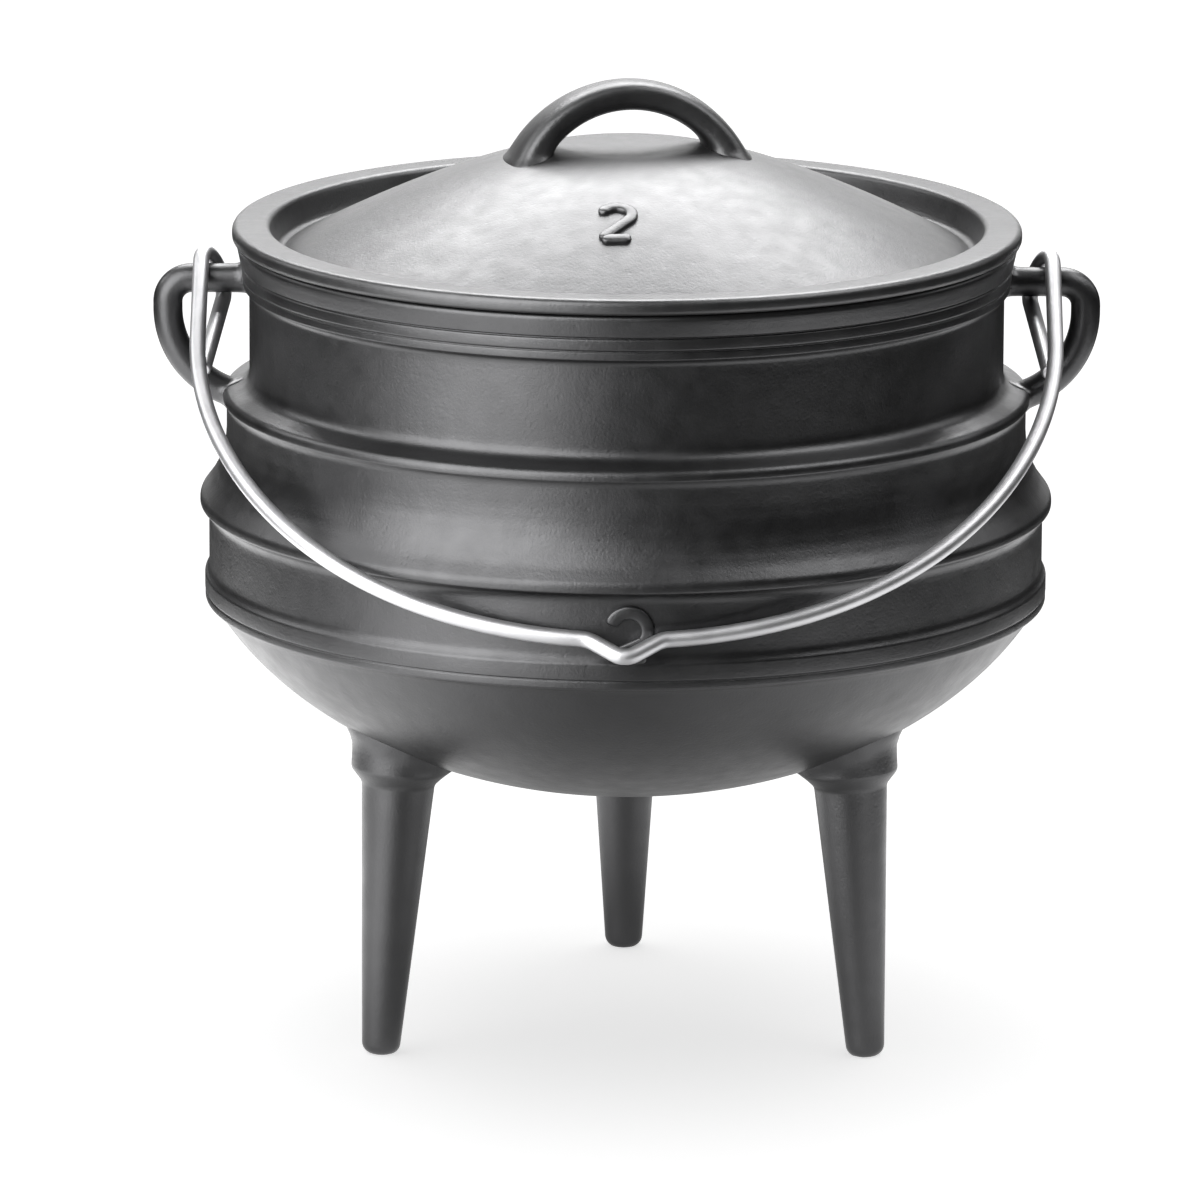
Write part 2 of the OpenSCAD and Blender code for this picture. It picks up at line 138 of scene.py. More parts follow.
# %% Outlines with rounded corners
def rounded(corners, steps=6):
    """Outline through [radius, height, rounding] corners, with an arc of that rounding in each.

    With a and b the directions from a corner to its neighbours and h half the angle between them,
    the arc's centre lies rounding / sin h along their middle, and the arc spans 180 degrees - 2 h.
    """
    corners = np.array(corners, float)
    spot, size = corners[1:-1, :2], corners[1:-1, 2:]
    a = corners[:-2, :2] - spot
    b = corners[2:, :2] - spot
    a /= np.linalg.norm(a, axis=1, keepdims=True)
    b /= np.linalg.norm(b, axis=1, keepdims=True)
    middle = (a + b) / np.linalg.norm(a + b, axis=1, keepdims=True)
    side = (b - a) / np.linalg.norm(b - a, axis=1, keepdims=True)
    half = np.arcsin(np.clip(np.linalg.norm(b - a, axis=1, keepdims=True) / 2, 0, 1))
    centre = spot + middle * size / np.sin(half)
    t = np.linspace(-1, 1, steps) * (np.pi / 2 - half)
    arcs = (
        centre[:, None]
        - size[:, None] * middle[:, None] * np.cos(t)[..., None]
        + size[:, None] * side[:, None] * np.sin(t)[..., None]
    )
    return np.concatenate([corners[:1, :2], arcs.reshape(-1, 2), corners[-1:, :2]])


def filled(outline, gap=2.0):
    """The same outline with extra points, so that no two neighbours are more than gap apart."""
    step = np.linalg.norm(np.diff(outline, axis=0), axis=1)
    parts = np.maximum(1, np.ceil(step / gap)).astype(int)
    place = np.repeat(np.arange(len(step)), parts)
    share = (np.arange(parts.sum()) - np.repeat(np.cumsum(parts) - parts, parts)) / parts[place]
    inner = outline[place] + share[:, None] * (outline[place + 1] - outline[place])
    return np.concatenate([inner, outline[-1:]])


def swept(wall, face, height, cove, rounding, up=1):
    """Two corners that lead from an upright wall out to a rib's face, whose edge is at height.

    The wall curves out through an angle whose cosine is 1 - (face - wall) / (cove + rounding).
    """
    turn = np.arccos(1 - (face - wall) / (cove + rounding))
    edge = height + up * rounding * np.tan(turn / 2)
    return [[wall, edge + up * (face - wall) / np.tan(turn), cove], [face, edge, rounding]]


# %% [markdown]
# The body is a shape of revolution. From the rim down its outline passes a plain band, two beads and
# the neck, and then three ribs. The way out to the upper rib is a narrow ledge, to the middle rib a
# long sweep and to the lower rib a small cove, and under each of them the wall is cut in again. The
# outline ends in the bowl, which is part of an ellipse. The ledge is finer here than in the CAD
# solid, where a plain hollow stands for it. Each height and radius is named here once.

# %% The body's outline
POT_H, RIM_R, MOUTH_R, NECK_R = 241.8, 117.4, 109.9, 113.4
LIP, BAND_H, BAND_TAPER, NECK_TOP = 0.8, 6.6, 1.4, POT_H - 14.6
# A groove has a radius and a depth under the rim, a bead has a radius and the depths of its edges.
UPPER_GROOVE, UPPER_BEAD = (114.7, 7.2), (115.6, 7.3, 10.9)
LOWER_GROOVE, LOWER_BEAD = (114.3, 11.0), (115.2, 11.2, 13.6)
# A rib has the radius of its face, the height where it starts and the height of its plain face.
UPPER_RIB, MIDDLE_RIB, LOWER_RIB = (121.4, 194.5, 0.5), (128.35, 163.3, 0.8), (127.0, 140.0, 4.4)
# The ledge starts this far above the upper rib at the neck, and this far above it at the rib's face.
LEDGE_AT_NECK, LEDGE_AT_FACE = 4.5, 1.7
# A way out to a rib, or back in under it, has the radius of its cove and the rounding of its edge.
SWEEP, COVE, CUT_BACK = (29.5, 3.4), (4.5, 1.6), (4.0, 1.0)
NOTCH_IN, NOTCH_EDGE, UNDER_BAND = 0.7, 0.1, 2.6
SHOULDER_R, BELLY_R, WALL = 120.3, 125.7, 4.0
# The inside widens this far under the start of the upper and of the middle rib.
INSIDE_DROPS, INSIDE_BEND = (7, 4), 20
BOWL_Z, BOWL_MID_Z, BOWL_TOP = 75.0, 168.3, (124.5, 132.2)
BOWL_DEPTH = BOWL_MID_Z - BOWL_Z
BOWL_R = BOWL_TOP[0] / np.sqrt(1 - ((BOWL_MID_Z - BOWL_TOP[1]) / BOWL_DEPTH) ** 2)


def bowl(edge_radius, inset=0.0, steps=56):
    """Part of an ellipse: radius = (R - inset) cos t, height = middle - (depth - inset) sin t."""
    t = np.linspace(np.arccos(edge_radius / (BOWL_R - inset)), np.pi / 2, steps)
    return np.stack([(BOWL_R - inset) * np.cos(t), BOWL_MID_Z - (BOWL_DEPTH - inset) * np.sin(t)], -1)


def body_outline():
    """Closed outline of the body: down the outside to the axis and up the inside to the rim again."""
    (upper_face, upper_top), (middle_face, middle_top) = UPPER_RIB[:2], MIDDLE_RIB[:2]
    ledge = [
        [NECK_R, upper_top + LEDGE_AT_NECK, 4.0],
        [upper_face, upper_top + LEDGE_AT_FACE, 2.4],
    ]
    sweep = swept(SHOULDER_R, middle_face, middle_top, *SWEEP)
    ribs = []
    for way_out, (face, top, height), below in (
        (ledge, UPPER_RIB, SHOULDER_R),
        (sweep, MIDDLE_RIB, BELLY_R),
    ):
        ribs += way_out
        ribs += reversed(swept(below, face, top - height, *CUT_BACK, -1))
    lower_face, lower_top, lower_height = LOWER_RIB
    notch = lower_top - lower_height
    outside = [
        [MOUTH_R + LIP, POT_H, 0.3],
        [RIM_R, POT_H, 1.6],
        [RIM_R - BAND_TAPER, POT_H - BAND_H, 0.4],
        [UPPER_GROOVE[0], POT_H - UPPER_GROOVE[1], 0.2],
        [UPPER_BEAD[0], POT_H - UPPER_BEAD[1], 0.7],
        [UPPER_BEAD[0], POT_H - UPPER_BEAD[2], 0.8],
        [LOWER_GROOVE[0], POT_H - LOWER_GROOVE[1], 0.15],
        [LOWER_BEAD[0], POT_H - LOWER_BEAD[1], 0.6],
        [LOWER_BEAD[0], POT_H - LOWER_BEAD[2], 0.7],
        [NECK_R, NECK_TOP, 2.5],
        *ribs,
        *swept(BELLY_R, lower_face, lower_top, *COVE),
        [lower_face, notch + NOTCH_EDGE, 0.5],
        [lower_face - NOTCH_IN, notch - NOTCH_EDGE, 0.2],
        [lower_face - NOTCH_EDGE, notch - 4 * NOTCH_EDGE, 0.4],
        [lower_face - NOTCH_EDGE, notch - UNDER_BAND, 0.8],
    ]
    inside = [
        *swept(MOUTH_R, SHOULDER_R - WALL, upper_top - INSIDE_DROPS[0], INSIDE_BEND, INSIDE_BEND / 2),
        *swept(SHOULDER_R - WALL, BELLY_R - WALL, middle_top - INSIDE_DROPS[1], INSIDE_BEND, INSIDE_BEND),
    ]
    outer = rounded([[MOUTH_R + LIP, POT_H - 0.01, 0], *outside, [*BOWL_TOP, 0]])
    cup_edge = [BOWL_TOP[0] - WALL, BOWL_TOP[1] + 6, 0]
    inner = rounded([[MOUTH_R, POT_H - LIP, 0], *inside, cup_edge], 8)
    cup = bowl(BOWL_TOP[0] - WALL, WALL, 40)[::-1]
    under = bowl(BOWL_TOP[0])[1:]
    return np.concatenate([filled(outer), under, cup, filled(inner[::-1], 4), outer[:1]])


outline = body_outline()
print(f"body outline: {len(outline)} points, widest {outline[:, 0].max():.1f} mm")

# %% [markdown]
# Where an ear or a leg grows out of the casting there is a fillet. The distance to the body is easy
# to work out for a shape of revolution, so a skin can swell by an amount that fades with distance.

# %% Fillets against the body
outer_skin = outline[np.argmax(outline[:, 1]) : np.argmin(outline[:, 1]) + 1][::-1]
print("outside of the body:", len(outer_skin), "points between the bowl's bottom and the rim")


def gap_to_body(points):
    """Distance from the outside of the body: across for an upright wall, along the bowl's slope below."""
    radius = np.hypot(points[..., 0], points[..., 1])
    across = radius - np.interp(points[..., 2], outer_skin[:, 1], outer_skin[:, 0])
    share = np.clip(radius / BOWL_R, 0, 0.95)
    under = BOWL_MID_Z - BOWL_DEPTH * np.sqrt(1 - share**2) - points[..., 2]
    slope = BOWL_DEPTH / BOWL_R * share / np.sqrt(1 - share**2)
    return np.where(points[..., 2] < BOWL_TOP[1], under / np.hypot(1, slope), across)


def with_fillet(sheet, gap, size, fade):
    """Moves each row's points away from the row's middle by size exp(-gap / fade)."""
    middle = sheet.mean(1, keepdims=True)
    out = sheet - middle
    length = np.maximum(np.linalg.norm(out, axis=-1, keepdims=True), 1e-9)
    swell = size * np.exp(-np.clip(gap, 0, None) / fade)[..., None]
    return sheet + out / length * swell * (length > 0.5)


# %% [markdown]
# The ears and the bail are round bars. A real one starts straight and is fed, bent and rolled step
# by step, and the same list of steps can be followed here. A feed is a straight line and a bend is
# an arc in the plane of the bar, so each step is one formula for all its points.


# %% Bars that are fed, bent and rolled
def bent(steps, start, across, along, gap=1.0):
    """Middle line of a bar: rows of point, across and along, each a unit vector, and the roll so far.

    feed: point = start + s along. bend: point = start + R ((1 - cos a) across + sin a along).
    """
    start, across, along = (np.array(v, float) for v in (start, across, along))
    rows = []
    rolled = 0.0
    for kind, size, *turn in steps:
        if kind == "roll":
            angle = np.radians(size)
            across = np.cos(angle) * across + np.sin(angle) * np.cross(along, across)
            rolled += angle
            continue
        length = size if kind == "feed" else size * np.radians(turn[0])
        s = np.linspace(0, 1, max(2, int(np.ceil(length / min(gap, 0.12 * size + 0.2)))) + 1)[1:, None]
        if kind == "feed":
            points, acrosses, alongs = start + s * size * along, across + 0 * s, along + 0 * s
        else:
            a = s * np.radians(turn[0])
            points = start + size * ((1 - np.cos(a)) * across + np.sin(a) * along)
            acrosses = np.cos(a) * across - np.sin(a) * along
            alongs = np.cos(a) * along + np.sin(a) * across
        rows.append(np.concatenate([points, acrosses, alongs, rolled + 0 * s], 1))
        start, across, along = points[-1], acrosses[-1], alongs[-1]
    return np.concatenate(rows)


def bar(rows, radius, columns=32):
    """Round bar: point = middle + radius (cos t across + sin t beside), without twist."""
    t = np.linspace(0, 2 * np.pi, columns, endpoint=False) - rows[:, 9:]
    across = rows[:, None, 3:6]
    beside = np.cross(rows[:, 6:9], rows[:, 3:6])[:, None]
    ring = np.cos(t)[..., None] * across + np.sin(t)[..., None] * beside
    return rows[:, None, :3] + np.broadcast_to(radius, len(rows))[:, None, None] * ring


# %% [markdown]
# The ear is one bar: straight out from the neck along the hinge line, down round a tight bend and
# back into the wall at the upper rib in a wide sweep. At both ends it swells into a small fillet.
# A fillet is given by how far it swells and by how fast that fades.

# %% The ears
EAR_Z, EAR_R, EAR_END = POT_H - 12.6, 4.4, 130.71
EAR_BEND, EAR_SIDE, EAR_SWEEP = 7.2, 2.0, 72
EAR_START, EAR_FOOT_Z, EAR_FOOT_SUNK = MOUTH_R + 2.1, UPPER_RIB[1] - 0.1, WALL + 2
EAR_FILLET = (0.9, 0.8)


def ear():
    """Bar from the neck to the upper rib, with a fillet where it leaves the body."""
    sweep_r = (EAR_Z - EAR_BEND - EAR_SIDE - EAR_FOOT_Z) / np.sin(np.radians(EAR_SWEEP))
    steps = [
        ("feed", EAR_END - EAR_START),
        ("bend", EAR_BEND, 90),
        ("feed", EAR_SIDE),
        ("bend", sweep_r, EAR_SWEEP),
        ("feed", EAR_FOOT_SUNK),
    ]
    rows = bent(steps, [EAR_START, 0, EAR_Z], [0, 0, -1], [1, 0, 0], gap=0.5)
    sheet = bar(rows, EAR_R, 48)
    return with_fillet(sheet, gap_to_body(sheet), *EAR_FILLET)


ears = [ear(), ear() * [-1, 1, 1]]
print("ear reaches", round(float(ears[0][..., 0].max()), 1), "mm from the axis")

# %% [markdown]
# A leg is turned: a rounded foot, a long taper, a sloped step and a collar that runs into the bowl.
# It leans in a little towards the top, and its sole is ground flat, which here means that no point
# may lie under the floor. The collar has a fillet where it meets the bowl.

# %% The legs
FOOT_SPREAD, LEG_LEAN, FOOT_R, FOOT_ROUND = 84.4, 6.4, 5.6, 3.6
LEG_R, COLLAR_R, COLLAR_Z, COLLAR_SLOPE, SOLE_SINK = 11.0, 14.4, 87.4, 4.0, 0.4
LEG_SUNK, LEG_FILLET = 1.5, (2.0, 1.3)


def leg(turn):
    """Leg at an angle about the axis: a turned shape that leans inwards, cut flat at the floor.

    Its root follows from the bowl's ellipse at the collar's outer side, sunk into the wall a little.
    """
    spread = FOOT_SPREAD - LEG_LEAN + COLLAR_R
    root = BOWL_MID_Z - BOWL_DEPTH * np.sqrt(1 - (spread / BOWL_R) ** 2) + LEG_SUNK
    corners = [
        [0, -SOLE_SINK, 0],
        [FOOT_R, -SOLE_SINK, FOOT_ROUND],
        [LEG_R, COLLAR_Z - COLLAR_SLOPE, 3.0],
        [COLLAR_R, COLLAR_Z, 2.4],
        [COLLAR_R, root, 0.5],
        [COLLAR_R - 2, root + 0.5, 0],
    ]
    sheet = revolve(filled(rounded(corners, 8), 2.5), 72)
    lean = np.arctan(LEG_LEAN / COLLAR_Z)
    x = sheet[..., 0] * np.cos(lean) - sheet[..., 2] * np.sin(lean) + FOOT_SPREAD
    z = sheet[..., 0] * np.sin(lean) + sheet[..., 2] * np.cos(lean)
    y = sheet[..., 1]
    upright = np.stack([x, y, np.maximum(z, 0)], -1)
    upright = with_fillet(upright, gap_to_body(upright), *LEG_FILLET)
    return turned(upright, turn)


legs = [leg(90 + 120 * k) for k in range(3)]
pot = skin("pot_casting", revolve(outline), *ears, *legs)

# %% [markdown]
# The lid is also a shape of revolution: a flat ring, a gutter inside it that holds coals, and a
# dome that rises in a soft cone. A power of the radius between 1, a cone, and 2, a bowl, gives that
# curve. Underneath, the skirt drops into the mouth, and the dome is hollow.

# %% The lid's outline
LID_R, LID_RING_T, LID_RING_W, GUTTER_DROP = RIM_R + 1.1, 4.8, 11.1, 8.6
GUTTER_W, GUTTER_SLOPE, DOME_H, DOME_FLAT, DOME_POWER, LID_WALL = 2.4, 2.2, 32.0, 20.0, 1.4, 4.5
LID_TOP = POT_H + LID_RING_T
GUTTER_Z = LID_TOP - GUTTER_DROP
RING_IN_R = LID_R - LID_RING_W
DOME_R = RING_IN_R - GUTTER_SLOPE - GUTTER_W
DOME_TOP, DOME_FOOT = GUTTER_Z + DOME_H, 0.5
DOME_EDGE, DOME_UNDER_EDGE = DOME_R - 1.5, DOME_R - 4
SKIRT_R, SKIRT_TAPER, RING_UNDER = MOUTH_R - 0.7, 1.2, POT_H + 0.1


def dome(radius):
    """Height of the dome: top - rise (the share of the way from its flat top to its edge) ^ power."""
    share = np.maximum(0, radius - DOME_FLAT) / (DOME_R - DOME_FLAT)
    return DOME_TOP - (DOME_H - DOME_FOOT) * share**DOME_POWER


def lid_outline():
    """Closed outline of the lid: over the top to the ring, down the skirt and back under the dome."""
    out = np.linspace(0, DOME_EDGE, 60)
    back = np.linspace(DOME_UNDER_EDGE, 0, 40)
    edge = [
        [DOME_EDGE, dome(DOME_EDGE), 0],
        [DOME_R + 0.3, GUTTER_Z, 1.2],
        [RING_IN_R - GUTTER_SLOPE, GUTTER_Z, 2.2],
        [RING_IN_R, LID_TOP, 2.0],
        [LID_R, LID_TOP, 2.0],
        [LID_R, RING_UNDER, 1.6],
        [SKIRT_R, RING_UNDER, 0.3],
        [SKIRT_R - SKIRT_TAPER, GUTTER_Z - LID_WALL, 0.8],
        [DOME_R - 1, GUTTER_Z - LID_WALL, 0.8],
        [DOME_UNDER_EDGE, dome(DOME_UNDER_EDGE) - LID_WALL, 0],
    ]
    top = np.stack([out, dome(out)], -1)
    under = np.stack([back, dome(back) - LID_WALL], -1)
    return np.concatenate([top[:-1], filled(rounded(edge)), under[1:]])


print(f"lid: {2 * LID_R:.1f} mm across, its dome up to {DOME_TOP:.1f} mm")

# %% [markdown]
# The handle is an arched strap, cast in one piece with the lid. Its section is a rounded square, a
# superellipse, that gets thicker and wider towards the feet, where it flows out over the dome.

# %% The lid's handle
ARCH_R, ARCH_RISE, HANDLE_TURN = 34.7, 15.8, 11
STRAP_T, STRAP_FOOT_T, STRAP_W, STRAP_FOOT_W, STRAP_ROUND = 8.8, 10.0, 14.0, 24.0, 0.65
STRAP_SUNK, HANDLE_FILLET = LID_WALL * 0.45, (1.2, 1.0)


def handle(rows=110, columns=64):
    """Strap along an arc: at u from -1 to 1 its section is |n / t|^3 + |m / w|^3 = 1, very nearly.

    The thickness t grows with u^5 and the width w with u^2, and the foot has a fillet on the dome.
    """
    u = np.linspace(-1, 1, rows)[:, None]
    top_z = DOME_TOP + ARCH_RISE
    foot_z = dome(ARCH_R) - STRAP_SUNK
    half = np.arccos((foot_z - top_z + ARCH_R) / ARCH_R)
    flare = np.abs(u) ** 5
    tilt = half * u + np.sign(u) * (np.pi / 2 - half) * flare
    thickness = STRAP_T + (STRAP_FOOT_T - STRAP_T) * flare
    width = STRAP_W + (STRAP_FOOT_W - STRAP_W) * u**2
    a = np.linspace(0, 2 * np.pi, columns, endpoint=False)
    n = np.sign(np.cos(a)) * np.abs(np.cos(a)) ** STRAP_ROUND * thickness / 2
    m = np.sign(np.sin(a)) * np.abs(np.sin(a)) ** STRAP_ROUND * width / 2
    x = ARCH_R * np.sin(half * u) + n * np.sin(tilt)
    z = top_z - ARCH_R * (1 - np.cos(half * u)) + n * np.cos(tilt)
    sheet = turned(np.stack([x, m, z], -1), HANDLE_TURN)
    return with_fillet(sheet, z - dome(np.hypot(x, m)), *HANDLE_FILLET)


lid = skin("lid_casting", revolve(lid_outline()), handle())

# %% [markdown]
# The bail is one wire. It starts at the tip of its kink, where a hook holds the pot, and each half
# runs out through the bow, up the arm and round the ear in a closed eye. Following the bender's
# steps gives the true form, and the other half is its mirror image. It leans on the belly.

# %% The bail
WIRE_R, BAIL_DROP, BAIL_LEAN, TIP_ROUND = 2.4, 157.8, 54.98, 0.8
EYE_TURN, TAIL_TURN, EYE_R = 24, 16, 7.88
ARM_Y = -EYE_R * np.cos(np.radians(EYE_TURN))
# A bend has a radius and an angle, a feed has a length, and a roll has an angle.
BEND_STEPS = [
    ("bend", 5, 36),
    ("feed", 7.5),
    ("roll", 180),
    ("bend", 8, 31),
    ("roll", 180),
    ("bend", 140.6, 15.5),
    ("bend", 120, 46.2),
    ("bend", 116.8, 23.3),
    ("feed", 31.4),
    ("roll", EYE_TURN - 90),
    ("bend", EYE_R, 180 + TAIL_TURN),
    ("feed", 39.4),
]


def bail():
    """Wire of constant radius along the bent line, its end rounded off by a quarter circle."""
    rows = bent(BEND_STEPS, [0, ARM_Y, -BAIL_DROP], [0, 0, 1], [1, 0, 0], gap=1.5)
    a = np.radians(np.arange(15, 91, 15))[:, None]
    cap = rows[-1:] + 0 * a
    cap[:, :3] += TIP_ROUND * np.sin(a) * rows[-1, 6:9]
    cap_r = WIRE_R - TIP_ROUND * (1 - np.cos(a[:, 0]))
    cap = np.concatenate([cap, cap[-1:]])
    radius = np.concatenate([np.full(len(rows), WIRE_R), cap_r, [0]])
    half = bar(np.concatenate([rows, cap]), radius, 24)
    whole = np.concatenate([half[::-1] * [-1, 1, 1], half])
    lean = np.radians(BAIL_LEAN)
    y = whole[..., 1] * np.cos(lean) + whole[..., 2] * np.sin(lean)
    z = whole[..., 2] * np.cos(lean) - whole[..., 1] * np.sin(lean)
    return np.stack([whole[..., 0], y, z + EAR_Z], -1)


wire = skin("bail_wire_bent", bail())

# %% [markdown]
# A raised size number is cast on the lid and again on the belly. A numeral is a low ridge that
# follows a line drawn on the surface, so it needs the line, as arcs and straights in its own plane,
# and a rule that lays a point of that plane onto the dome or the belly.


# %% Raised numerals
NUMBER_RISE, LID_STROKE, BELLY_STROKE = 1.3, 3.6, 4.0
# A numeral has a width and a height, and stands at a distance aside and at the place of its foot.
LID_TWO, BELLY_TWO = (9, 17), (11, 13.4)
LID_TWO_AT, BELLY_TWO_AT, SLOPE_SHARE = (-3.1, 69.0), (1.1, 142.5), 0.93


def strokes_of_two(width, height):
    """The numeral 2 as two lines of points (u, v): a round top with a slant, and the base."""
    radius = width / 2
    turn = np.radians(np.linspace(165, -38, 40))
    top = np.stack([radius * np.cos(turn), height - radius + radius * np.sin(turn)], -1)
    share = np.linspace(0, 1, 30)[1:, None]
    slant = top[-1] + share * ([-radius, 0] - top[-1])
    base = np.stack([np.linspace(-radius, radius, 24), np.zeros(24)], -1)
    return [np.concatenate([top, slant]), base]


def ridge(line, width, rise, lay, columns=16):
    """Low ridge with a flat top laid along a line on a surface, its ends round.

    A section's point lies (width / 2) cos t beside the line, rise (sin t) ^ 0.3 above the surface.
    """
    forward = np.gradient(line, axis=0)
    forward /= np.linalg.norm(forward, axis=1, keepdims=True)
    side = np.stack([-forward[:, 1], forward[:, 0]], -1)
    run = np.concatenate([[0], np.cumsum(np.linalg.norm(np.diff(line, axis=0), axis=1))])
    from_end = np.minimum(run, run[-1] - run) / (width / 2)
    scale = np.sqrt(np.clip(1 - (1 - np.clip(from_end, 0, 1)) ** 2, 0, 1))[:, None]
    t = np.linspace(0, 2 * np.pi, columns, endpoint=False)
    across = scale * np.cos(t) * width / 2
    lift = rise * np.sqrt(scale) * np.sign(np.sin(t)) * np.abs(np.sin(t)) ** 0.3
    return lay(line[:, :1] + side[:, :1] * across, line[:, 1:] + side[:, 1:] * across, lift)


def on_lid(u, v, h):
    """Lays (u, v) on the front of the dome, v running up the slope, h along the surface's normal."""
    middle, foot = LID_TWO_AT
    x = middle + u
    y = -(foot - v * SLOPE_SHARE)
    radius = np.hypot(x, y)
    slope = dome(radius - 0.5) - dome(radius + 0.5)
    lift = h / np.hypot(1, slope)
    out = 1 + lift * slope / radius
    return np.stack([x * out, y * out, dome(radius) + lift], -1)


def on_belly(u, v, h):
    """Lays (u, v) round the belly's band at its radius, v running up and h outwards."""
    middle, foot = BELLY_TWO_AT
    around = (middle + u) / BELLY_R
    radius = BELLY_R + h
    return np.stack([radius * np.sin(around), -radius * np.cos(around), foot + v + 0 * h], -1)


def numeral(name, size, stroke, lay):
    """The numeral 2 as one piece, a ridge for each of its lines."""
    return skin(name, *(ridge(line, stroke, NUMBER_RISE, lay) for line in strokes_of_two(*size)))


lid_number = numeral("lid_number", LID_TWO, LID_STROKE, on_lid)
belly_number = numeral("belly_number", BELLY_TWO, BELLY_STROKE, on_belly)

# %% [markdown]
# Each skin rides on the body of the solid that it stands for, and hides that solid.

# %% Riding on the frame
for piece, body, iron in (
    (pot, "pot", "pot_iron"),
    (belly_number, "pot", "pot_iron"),
    (lid, "pot", "lid_iron"),
    (lid_number, "pot", "lid_iron"),
    (wire, "bail", "bail_wire"),
):
    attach(piece, body)
    print(f"{piece.name} rides on the body {body}")
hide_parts("pot")
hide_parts("lid")
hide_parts("bail")

# %% [markdown]
# Cast iron from a sand mould is dark and dull, with a fine grain all over, small pits, and soft
# lumps that only show where light glances off. Noise at three scales gives these as bump, and noise
# changes the colour and the roughness a little too, so that no area looks painted. The iron is set
# as a dark metal: then its tones come from what it mirrors, as those of seasoned iron do.


# %% Parts of a finish
def node(tree, kind, **values):
    """One shader node; a value whose name is an input's name goes to that input."""
    made = tree.nodes.new(kind)
    for name, value in values.items():
        label = name.replace("_", " ").title()
        if label in made.inputs:
            made.inputs[label].default_value = value
        else:
            setattr(made, name, value)
    return made


def finish(name, metallic):
    """A new material: its nodes, its shader, and the object coordinates that its patterns read."""
    material = bpy.data.materials.new(name)
    material.use_nodes = True
    tree = material.node_tree
    shader = tree.nodes["Principled BSDF"]
    shader.inputs["Metallic"].default_value = metallic
    return material, tree, shader, node(tree, "ShaderNodeTexCoord").outputs["Object"]


def noise(tree, place, scale, detail, roughness):
    """Noise pattern on the object's own coordinates, with its scale in cells per metre."""
    made = node(tree, "ShaderNodeTexNoise", scale=scale, detail=detail, roughness=roughness)
    tree.links.new(place, made.inputs["Vector"])
    return made.outputs["Fac"]


def tint(tree, shader, pattern, dark, light):
    """Base colour that goes from dark to light with the pattern."""
    colour = node(tree, "ShaderNodeMix", data_type="RGBA")
    colour.inputs["A"].default_value = (*dark, 1)
    colour.inputs["B"].default_value = (*light, 1)
    tree.links.new(pattern, colour.inputs["Factor"])
    tree.links.new(colour.outputs["Result"], shader.inputs["Base Color"])


def dullness(tree, shader, pattern, low, high):
    """Roughness that goes from low to high with the pattern."""
    dull = node(tree, "ShaderNodeMapRange")
    dull.inputs["To Min"].default_value = low
    dull.inputs["To Max"].default_value = high
    tree.links.new(pattern, dull.inputs["Value"])
    tree.links.new(dull.outputs["Result"], shader.inputs["Roughness"])


def relief(tree, shader, *layers):
    """Bump from layers of pattern, depth in metres and strength, each laid over the one before."""
    below = None
    for pattern, depth, strength in layers:
        bump = node(tree, "ShaderNodeBump", strength=strength, distance=depth)
        tree.links.new(pattern, bump.inputs["Height"])
        if below:
            tree.links.new(below, bump.inputs["Normal"])
        below = bump.outputs["Normal"]
    tree.links.new(below, shader.inputs["Normal"])


# %% Cast iron
def iron(name, dark, light, rough):
    """Sand-cast iron: colour between dark and light, roughness about rough, bump at three scales."""
    material, tree, shader, place = finish(name, 0.98)
    shader.inputs["IOR"].default_value = 1.6
    grain = noise(tree, place, 1300.0, 3.0, 0.6)
    lumps = noise(tree, place, 160.0, 2.0, 0.5)
    cloud = noise(tree, place, 18.0, 4.0, 0.6)
    cells = node(tree, "ShaderNodeTexVoronoi", scale=420.0)
    tree.links.new(place, cells.inputs["Vector"])
    pits = node(tree, "ShaderNodeMapRange")
    pits.inputs["From Max"].default_value = 0.35
    tree.links.new(cells.outputs["Distance"], pits.inputs["Value"])
    tint(tree, shader, cloud, dark, light)
    dullness(tree, shader, lumps, rough - 0.08, rough + 0.08)
    relief(
        tree,
        shader,
        (lumps, 0.0004, 0.2),
        (grain, 0.00018, 0.32),
        (pits.outputs["Result"], 0.00006, 0.4),
    )
    return material


pot_iron = iron("sand_cast_iron_body", (0.05, 0.05, 0.051), (0.092, 0.092, 0.094), 0.4)
# The lid's iron is a lighter copy of the body's: painted sheen, so that the dome mirrors its lights more
# brightly.
lid_iron = iron("sand_cast_iron_lid_with_painted_sheen", (0.06, 0.06, 0.061), (0.105, 0.105, 0.107), 0.42)
for material, pieces in ((pot_iron, (pot, belly_number)), (lid_iron, (lid, lid_number))):
    for piece in pieces:
        piece.data.materials.append(material)
        print(material.name, "on", piece.name)

# %% [markdown]
# The wire is bright drawn steel under a thin coat of zinc that has gone a little dull. It is smooth,
# with a faint blotchy change of gloss.


# %% Drawn steel
def steel(name):
    """Bright steel under a thin dull zinc coat: one blotchy pattern gives colour, gloss and relief."""
    material, tree, shader, place = finish(name, 1.0)
    cloud = noise(tree, place, 120.0, 4.0, 0.6)
    tint(tree, shader, cloud, (0.42, 0.42, 0.43), (0.57, 0.57, 0.58))
    dullness(tree, shader, cloud, 0.38, 0.52)
    relief(tree, shader, (cloud, 0.0001, 0.15))
    return material


wire.data.materials.append(steel("bright_drawn_steel"))
print("steel on", wire.name)

# %% [markdown]
# The camera is a long lens about 3 m away and 13 degrees above the level, as the ribs' ellipses in
# the photograph show, and rolled a quarter of a degree.

# %% The camera
CAMERA_AT, CAMERA_AIM = Vector((0, -2.976, 0.8242)), Vector((-0.00764, 0.00368, 0.13036))
CAMERA_ROLL, LENS_MM, SENSOR_MM, SEES_TO = 0.25, 303.3, 36, 50


